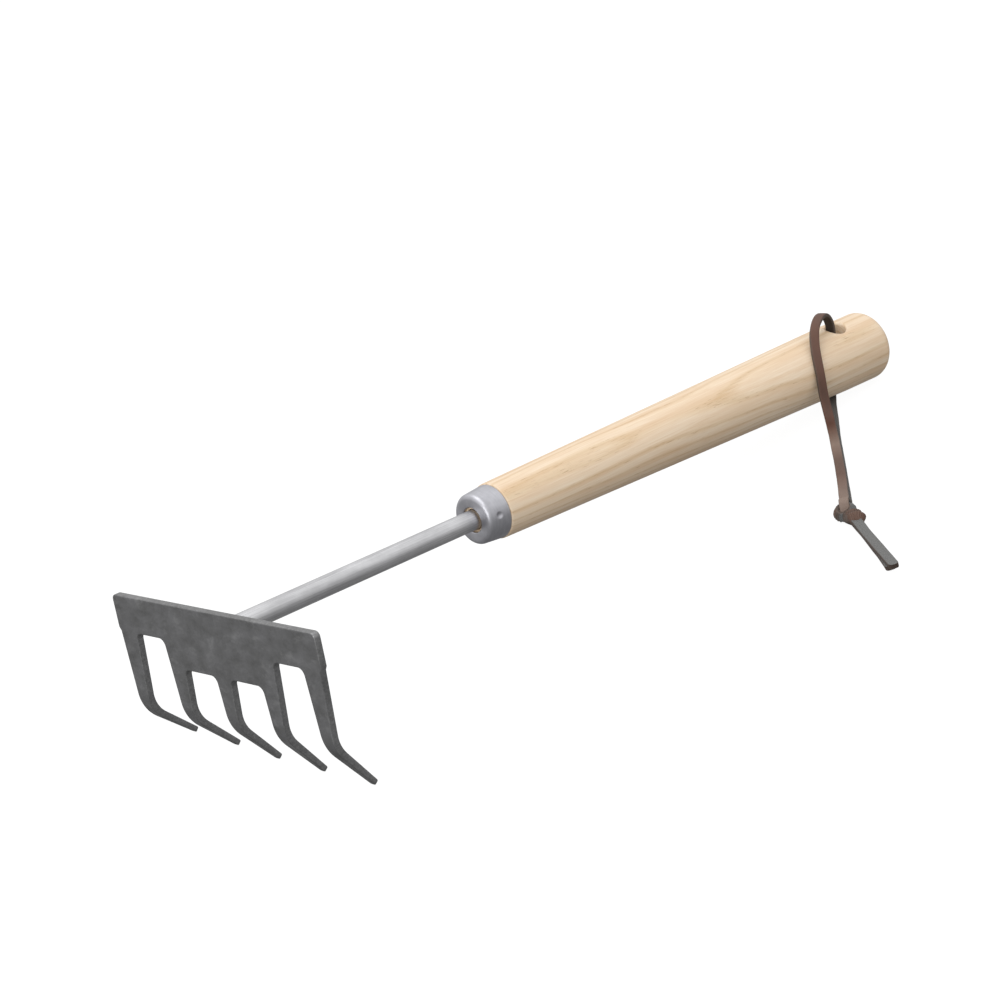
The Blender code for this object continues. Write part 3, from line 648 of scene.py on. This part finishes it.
head = {
    "width": 121.7,
    "thickness": 3.0,
    "top": 9.0,
    "outerGapTop": -5.6,
    "innerGapTop": -16.4,
    "plateCorner": 2.2,
    "gapCorner": 3.0,
    "sideStep": 0.9,
    "stepHeight": 1.5,
    "tinePitch": 27.66,
    "tineHalfWidth": 4.4,
    "tineTaper": 0.083,
    "outerTaper": 0.054,
    "tipHalfWidth": 1.25,
    "outerTipFlare": 1.3,
    "tipThinning": 0.72,
    "tipEnd": 0.2,
    "tipEndThickness": 0.64,
    "stripTop": -20.4,
    "bendTop": -30.5,
    "bendRadius": 14.0,
    "bendAngles": np.radians((49, 45, 40, 38, 37)),
    "edgeRound": 0.42,
    "edgeSteps": 4,
    "faceInset": 0.8,
}


def roundedCorner(corner, before, after, radius, steps=8):
    # an arc of that radius joining the lines from a corner towards two other points, by turning one end's
    # spoke evenly to the other's
    corner, before, after = (np.array(p, float) for p in (corner, before, after))
    one, two = unit(before - corner), unit(after - corner)
    half = np.arccos(one @ two) / 2
    centre = corner + unit(one + two) * radius / np.sin(half)
    first = corner + one * radius / np.tan(half) - centre
    last = corner + two * radius / np.tan(half) - centre
    sweep = pi - 2 * half
    share = np.linspace(0, 1, steps + 1)[:, None]
    return centre + (first * np.sin((1 - share) * sweep) + last * np.sin(share * sweep)) / np.sin(sweep)


def tineEdges(tine, z):
    # x of a tine's two edges at height z, above its bend; tine runs from -2 to 2
    half = head["tineHalfWidth"] + head["tineTaper"] * (z - head["innerGapTop"])
    outer = head["width"] / 2 - head["sideStep"] - head["outerTaper"] * (head["outerGapTop"] - z)
    low, high = tine * head["tinePitch"] - half, tine * head["tinePitch"] + half
    return (-outer if tine == -2 else low), (outer if tine == 2 else high)


def straightLengths():
    # the straight end of each tine, so long that its tip's underside meets the ground
    angle, tilt = head["bendAngles"], rake["tilt"]
    y = head["thickness"] / 2 + head["bendRadius"] * (1 - np.cos(angle))
    z = head["bendTop"] - head["bendRadius"] * np.sin(angle)
    under = head["thickness"] / 2 * head["tipThinning"] * head["tipEndThickness"]
    height = z * np.cos(tilt) - y * np.sin(tilt) - under * np.sin(angle - tilt) + rake["z"]
    return height / np.cos(angle - tilt)


def tineOutline(tine):
    # left and right edges of a tine laid flat, from the plate to the tip: straight above the bend, then
    # narrowing evenly to the tip, which ends in a half circle
    bent = head["bendRadius"] * head["bendAngles"][tine + 2] + straightLengths()[tine + 2]
    tip = tine * head["tinePitch"] + (head["outerTipFlare"] * np.sign(tine) if abs(tine) == 2 else 0)
    half = head["tipHalfWidth"]
    above = np.linspace(head["stripTop"], head["bendTop"], 7)[:-1]
    lowAbove, highAbove = tineEdges(tine, above)
    turn = np.radians((15, 30, 45, 60, 72, 82))
    run = np.concatenate([np.linspace(0, bent - half, 44), bent - half * (1 - np.sin(turn))])
    off = np.concatenate([np.ones(44), np.cos(turn)])
    lowEnd, highEnd = tineEdges(tine, head["bendTop"])
    share = run / bent
    low = lowEnd + (tip - half - lowEnd) * share
    high = highEnd + (tip + half - highEnd) * share
    middle, wide = (low + high) / 2, (high - low) / 2 * off
    level = np.concatenate([above, head["bendTop"] - run])
    left = np.stack([np.concatenate([lowAbove, middle - wide]), level], -1)
    right = np.stack([np.concatenate([highAbove, middle + wide]), level], -1)
    return left, right


def combOutline():
    # the whole comb laid flat, clockwise from its top left corner, as (x, level), with each point's tine
    # and the index arrays of each tine's right and left edges from the plate to the tip
    half, top = head["width"] / 2, head["top"]
    stepTop = head["outerGapTop"] + head["stepHeight"]
    leftTop = roundedCorner((-half, top), (-half, 0), (half, top), head["plateCorner"])
    rightTop = roundedCorner((half, top), (-half, top), (half, 0), head["plateCorner"])
    between = np.linspace(leftTop[-1], rightTop[0], 26)[1:-1]
    parts = [leftTop, between, rightTop, np.array([(half, 0.0), (half, stepTop)])]
    parts.append(np.array([(tineEdges(2, head["outerGapTop"])[1], head["outerGapTop"])]))
    tines, edges = [np.zeros(sum(map(len, parts)), int)], []
    count = len(tines[0])
    for tine in range(2, -3, -1):
        left, right = tineOutline(tine)
        parts += [right, left[::-1]]
        tines.append(np.full(2 * len(left), tine + 2))
        edges.append((count + np.arange(len(left)), count + 2 * len(left) - 1 - np.arange(len(left))))
        count += 2 * len(left)
        if tine == -2:
            continue
        gapTop = head["outerGapTop"] if tine in (2, -1) else head["innerGapTop"]
        strip = head["stripTop"]
        near, far = (tineEdges(tine, gapTop)[0], gapTop), (tineEdges(tine - 1, gapTop)[1], gapTop)
        corners = [roundedCorner(near, (tineEdges(tine, strip)[0], strip), far, head["gapCorner"])]
        corners.append(roundedCorner(far, near, (tineEdges(tine - 1, strip)[1], strip), head["gapCorner"]))
        parts += corners
        tines.append(np.zeros(sum(map(len, corners)), int))
        count += len(tines[-1])
    parts.append(np.array([(tineEdges(-2, head["outerGapTop"])[0], head["outerGapTop"]), (-half, stepTop),
                           (-half, 0.0)]))
    tines.append(np.zeros(3, int))
    return np.concatenate(parts), np.concatenate(tines), edges


def bendPlate(x, level, rise, tine):
    # a point of the flat comb taken round its tine's bend: above the bend it stays in the plate; below it
    # the run turns by run / radius up to the tine's angle, then goes straight on; rise is square to the
    # middle surface
    angle = head["bendAngles"][tine]
    bent = head["bendRadius"] * angle + straightLengths()[tine]
    run = np.maximum(head["bendTop"] - level, 0)
    lean = np.minimum(run / head["bendRadius"], angle)
    past = np.maximum(run - head["bendRadius"] * angle, 0)
    share = run / bent
    rounding = np.clip((run - bent) / head["tipHalfWidth"] + 1, 0, 1)
    off = np.maximum(np.sqrt(1 - rounding**2), head["tipEnd"])
    thin = 1 - (1 - head["tipThinning"]) * share
    thin *= 1 - (1 - head["tipEndThickness"]) * (1 - off) / (1 - head["tipEnd"])
    y = head["thickness"] / 2 + head["bendRadius"] * (1 - np.cos(lean)) + past * np.sin(lean)
    z = np.maximum(level, head["bendTop"]) - head["bendRadius"] * np.sin(lean) - past * np.cos(lean)
    return np.stack([x, y + rise * thin * np.cos(lean), z + rise * thin * np.sin(lean)], -1)


def makeHead():
    outline, tine, edges = combOutline()
    before = unit(outline - np.roll(outline, 1, 0))
    after = unit(np.roll(outline, -1, 0) - outline)
    inwards = unit(np.stack([before[:, 1] + after[:, 1], -before[:, 0] - after[:, 0]], -1))
    # dividing by the cosine of half the corner's turn keeps the inset even round it
    stretch = 1 / np.clip(np.sqrt((1 + np.sum(before * after, -1)) / 2), 0.5, 1)
    # the edge's profile from the back face to the front: inset = round * (1 - cos), rise = half - round *
    # (1 - sin)
    turn = np.linspace(pi / 2, 0, head["edgeSteps"] + 1)
    inset = np.append(head["faceInset"], head["edgeRound"] * (1 - np.cos(turn)))
    rise = head["thickness"] / 2 - head["edgeRound"] * np.append(0, 1 - np.sin(turn))
    inset, rise = np.append(inset, inset[::-1]), np.append(rise, -rise[::-1])
    flat = outline + inwards[None] * (stretch * inset[:, None])[..., None]
    points = bendPlate(flat[..., 0], flat[..., 1], rise[:, None], tine[None])
    edge = np.broadcast_to((np.abs(inset) < 0.2)[:, None], points.shape[:2])
    rows, columns = points.shape[:2]
    faces = gridFaces(rows, columns).tolist()
    plate = np.ones(columns, bool)
    strips = []
    for right, left in edges:
        plate[right[1:]] = plate[left[1:]] = False
        strips.append(np.stack([right[:-1], right[1:], left[1:], left[:-1]], -1))
    strips = np.concatenate(strips)
    for ring in (0, rows - 1):
        faces += (strips + ring * columns).tolist()
        faces.append((np.flatnonzero(plate) + ring * columns).tolist())
    return makePiece("head", "rake_head", plateSteelMaterial(), toWorld(points).reshape(-1, 3),
                     faces, {"edge": edge})


makeHead()

shank = {"radius": 4.0, "front": 3.02, "end": 197.7, "chamfer": 1.2}
weld = {"leg": 2.5, "bulge": 0.35, "ripples": 26, "rippleHeight": 0.11}
ferrule = {
    "front": 127.7,
    "length": 10.7,
    "frontRadius": 10.1,
    "backRadius": 11.0,
    "wall": 0.9,
    "shoulder": 2.0,
    "lipGap": 1.1,
    "dimpleSetback": 5.5,
    "dimpleTurn": radians(83),
    "dimpleRadius": 1.6,
    "dimpleDepth": 0.55,
}
drawnSteel = drawnSteelMaterial("brightDrawnSteel", "#e8e8ea", "#cacacc", (0.5, 40, 0.5), 0.38)
pressedSteel = drawnSteelMaterial("pressedSteelTube", "#d0d0d6", "#c2c2c8", (6, 1.2, 6), 0.40)


def makeShank():
    turns = 2 * pi * np.arange(96) / 96
    y = np.linspace(shank["front"], shank["end"] - shank["chamfer"], 60)
    profile = np.stack([y, np.full_like(y, shank["radius"])], -1)
    profile = np.append(profile, [(shank["end"], shank["radius"] - shank["chamfer"])], 0)
    points = toWorld(lathe(profile, turns))
    faces = cappedFaces(*points.shape[:2])
    makePiece("round_shank", "shank", drawnSteel, points.reshape(-1, 3), faces)


def makeWeld():
    # a fillet round the shank: the straight line between its two toes, bulged by sin(pi * share) and
    # rippled by cos of the turn, which leans back along the bead
    turns = 2 * pi * np.arange(312) / 312
    share = np.linspace(0, 1, 13)[:, None]
    leg = weld["leg"] * (1 + 0.05 * np.sin(3 * turns + 1) + 0.03 * np.sin(8 * turns))
    ripple = weld["rippleHeight"] * np.cos(weld["ripples"] * turns + 5 * np.sin(pi * share))
    out = (weld["bulge"] + ripple) * np.sin(pi * share)
    y = shank["front"] + leg * share + out * 0.7
    radius = shank["radius"] + leg * (1 - share) + out * 0.7
    inner = np.stack([np.full_like(turns, shank["front"]), np.full_like(turns, shank["radius"] - 0.1)])
    y, radius = np.vstack([y, y[-1:], inner[:1]]), np.vstack([radius, inner[1:], inner[1:]])
    points = toWorld(np.stack([radius * np.sin(turns), y, radius * np.cos(turns)], -1))
    faces = closedFaces(*points.shape[:2])
    makePiece("weld_fillet", "weld_bead", weldMaterial(), points.reshape(-1, 3), faces)


def ferruleRadius(y):
    share = (y - ferrule["front"]) / ferrule["length"]
    return ferrule["frontRadius"] + (ferrule["backRadius"] - ferrule["frontRadius"]) * share


def makeFerrule():
    # the wall's closed profile turned about the axis; the punched dimple lowers the outside by its depth
    # times (1 - share squared) to the power 1.5, where share is the distance from its middle over its
    # radius
    front, wall, shoulder = ferrule["front"], ferrule["wall"], ferrule["shoulder"]
    back, backRadius = front + ferrule["length"], ferrule["backRadius"]
    seat = ferruleRadius(front + shoulder) - shoulder
    lip, lipRadius = wall / 2, shank["radius"] + ferrule["lipGap"]
    start, edge = front + shoulder, 0.2
    y = np.linspace(start, back - edge, 44)
    profile = np.concatenate([
        arc(start, seat, shoulder, shoulder, 180, 90, 12),
        np.stack([y, ferruleRadius(y)], -1)[1:],
        arc(back - edge, backRadius - edge, edge, edge, 90, 0, 3)[1:],
        arc(back - edge, backRadius - wall + edge, edge, edge, 0, -90, 3),
        arc(start, seat, shoulder - wall, shoulder - wall, 90, 180, 8),
        arc(front + lip, lipRadius + lip, lip, lip, 0, -180, 10),
    ])
    wide = 1.3 * ferrule["dimpleRadius"] / backRadius
    near = ferrule["dimpleTurn"] + np.linspace(-wide, wide, 33)
    rest = np.linspace(near[-1], near[0] + 2 * pi, 150)[1:-1]
    turns = np.concatenate([near, rest])
    points = lathe(profile, turns)
    offY = profile[:, :1] - (front + ferrule["dimpleSetback"])
    offTurn = (turns - ferrule["dimpleTurn"]) * backRadius
    share = np.clip(1 - (offY**2 + offTurn**2) / ferrule["dimpleRadius"] ** 2, 0, 1)
    outside = np.arange(len(profile))[:, None] < 12 + len(y)
    drop = ferrule["dimpleDepth"] * share**1.5 * outside
    scale = 1 - drop / profile[:, 1:]
    points[..., 0] *= scale
    points[..., 2] *= scale
    points = toWorld(points)
    faces = closedFaces(*points.shape[:2])
    makePiece("pressed_ferrule", "ferrule", pressedSteel, points.reshape(-1, 3), faces)


makeShank()
makeWeld()
makeFerrule()


handle = {
    "start": ferrule["front"] + ferrule["length"] + 0.15,
    "length": 225.5,
    "neckRadius": 11.35,
    "buttRadius": 14.78,
    "neckRound": 0.6,
    "buttRoundLength": 5.2,
    "buttRoundHeight": 6.4,
    "buttCrown": 0.4,
    "bore": 4.3,
    "columns": 144,
}
hole = {"radius": 4.6, "round": 1.25, "setback": 23.6, "turn": radians(15), "halfColumns": 13, "reach": 9.0}


def handleRadius(y):
    share = (y - handle["start"]) / (handle["length"] - hole["setback"])
    return handle["neckRadius"] + (handle["buttRadius"] - handle["neckRadius"]) * np.minimum(share, 1)


def handleProfile():
    # from the blind end of the tang's bore, out over the tenon and the neck, along the outside and round
    # the butt; also gives the first and last rows of the patch that each mouth of the hanging hole fills
    end = ferrule["front"] + ferrule["length"] + handle["length"]
    holeY = end - hole["setback"]
    tenon = ferrule["front"] + ferrule["wall"] + 0.3
    tenonFront = ferruleRadius(tenon) - ferrule["shoulder"] - 0.6
    shoulderY = ferrule["front"] + ferrule["shoulder"]
    inside = [(shank["end"] + 0.3, 0.05), (shank["end"] + 0.3, handle["bore"]), (tenon, handle["bore"]),
              (tenon, tenonFront), (shoulderY, ferruleRadius(shoulderY) - ferrule["wall"] - 0.3),
              (handle["start"], ferrule["backRadius"] - ferrule["wall"] - 0.3)]
    edge, neck = handle["neckRound"], handleRadius(handle["start"])
    rounded = arc(handle["start"] + edge, neck - edge, edge, edge, 180, 90, 5)
    roundStart = end - handle["buttRoundLength"] - handle["buttCrown"]
    before = np.linspace(handle["start"] + edge, holeY - hole["reach"], 120)[1:-1]
    patch = np.linspace(holeY - hole["reach"], holeY + hole["reach"], 27)
    behind = np.linspace(holeY + hole["reach"], roundStart, 8)[1:-1]
    y = np.concatenate([before, patch, behind])
    flat = handleRadius(roundStart) - handle["buttRoundHeight"]
    butt = arc(roundStart, flat, handle["buttRoundLength"], handle["buttRoundHeight"], 90, 0, 18)
    across = np.linspace(1, 0.004, 9)[1:]
    crown = np.stack([butt[-1, 0] + handle["buttCrown"] * (1 - across**2), flat * across], -1)
    profile = np.concatenate([inside, rounded, np.stack([y, handleRadius(y)], -1), butt, crown])
    first = len(inside) + len(rounded) + len(before)
    return profile, first, first + len(patch) - 1, holeY


def boredMouth(points, loop, holeY, grown):
    # rings from a rectangle of the outside to the bore: first sliding over the surface to the mouth's
    # circle, then down its rounded lip, where the radius is hole + round * (1 - sin) and the drop is
    # round * (1 - cos)
    axis = np.array((np.sin(hole["turn"]), 0, np.cos(hole["turn"])))
    sideways = np.array((np.cos(hole["turn"]), 0, -np.sin(hole["turn"])))
    rim = points.reshape(-1, 3)[loop]
    w, v = rim @ sideways, rim[:, 1] - holeY
    face = np.sign((rim @ axis).mean())
    spoke = np.arctan2(v, w)
    rings = []
    mouth = hole["radius"] + hole["round"]
    for share in np.linspace(0, 1, 7)[1:]:
        rings.append((w + (mouth * np.cos(spoke) - w) * share, v + (mouth * np.sin(spoke) - v) * share, 0))
    for turn in np.radians((15, 30, 45, 60, 75, 90)):
        radius = hole["radius"] + hole["round"] * (1 - np.sin(turn))
        rings.append((radius * np.cos(spoke), radius * np.sin(spoke), hole["round"] * (1 - np.cos(turn))))
    placed = []
    for across, along, drop in rings:
        y = holeY + along
        height = np.sqrt(handleRadius(y) ** 2 - across**2) - drop
        placed.append(sideways * across[:, None] + axis * (face * height)[:, None]
                      + np.array((0, 1, 0)) * y[:, None])
    numbers = np.vstack([loop, grown + np.arange(len(rings) * len(loop)).reshape(len(rings), -1)])
    return np.concatenate(placed), numbers, spoke


def ringQuads(numbers):
    # quads between neighbouring rings of point numbers
    ahead = np.roll(numbers, -1, 1)
    return np.stack([numbers[:-1], ahead[:-1], ahead[1:], numbers[1:]], -1).reshape(-1, 4)


def makeHandle():
    profile, firstRow, lastRow, holeY = handleProfile()
    columns = handle["columns"]
    turns = 2 * pi * np.arange(columns) / columns
    grid = lathe(profile, turns)
    rows = len(profile)
    quads = gridFaces(rows, columns)
    faceRow, faceColumn = np.divmod(np.arange(len(quads)), columns)
    points, kept, extra, bores = [grid.reshape(-1, 3)], np.ones(len(quads), bool), [], []
    count = rows * columns
    for halfTurn in (0, 0.5):
        middle = round((hole["turn"] / (2 * pi) + halfTurn) * columns)
        low, high = middle - hole["halfColumns"], middle + hole["halfColumns"]
        inside = ((faceColumn - low) % columns < high - low) & (faceRow >= firstRow) & (faceRow < lastRow)
        kept &= ~inside
        sides = np.arange(low, high), np.arange(firstRow, lastRow)
        row = np.concatenate([0 * sides[0] + firstRow, sides[1], 0 * sides[0] + lastRow,
                              lastRow + firstRow - sides[1]])
        column = np.concatenate([sides[0], 0 * sides[1] + high, high + low - sides[0], 0 * sides[1] + low])
        loop = row * columns + column % columns
        placed, numbers, spoke = boredMouth(grid, loop, holeY, count)
        points.append(placed)
        count += len(placed)
        extra.append(ringQuads(numbers))
        bores.append(numbers[-1][np.argsort(spoke)])
    everything = np.concatenate(points)
    # the bore's wall between the two lips, in even steps
    top, bottom = everything[bores[0]], everything[bores[1]]
    steps = np.linspace(0, 1, 12)[1:-1, None, None]
    wall = top + (bottom - top) * steps
    numbers = count + np.arange(len(steps) * len(top)).reshape(len(steps), -1)
    extra.append(ringQuads(np.vstack([bores[0], numbers, bores[1]])))
    everything = np.concatenate([everything, wall.reshape(-1, 3)])
    quads = np.concatenate([quads[kept], *extra])
    used = np.zeros(len(everything), bool)
    used[quads] = True
    renumbered = np.cumsum(used) - 1
    faces = renumbered[quads].tolist()
    faces += [renumbered[:columns].tolist(), renumbered[(rows - 1) * columns:rows * columns].tolist()]
    makePiece("turned_handle", "handle", ashMaterial(), toWorld(everything[used]), faces)


makeHandle()
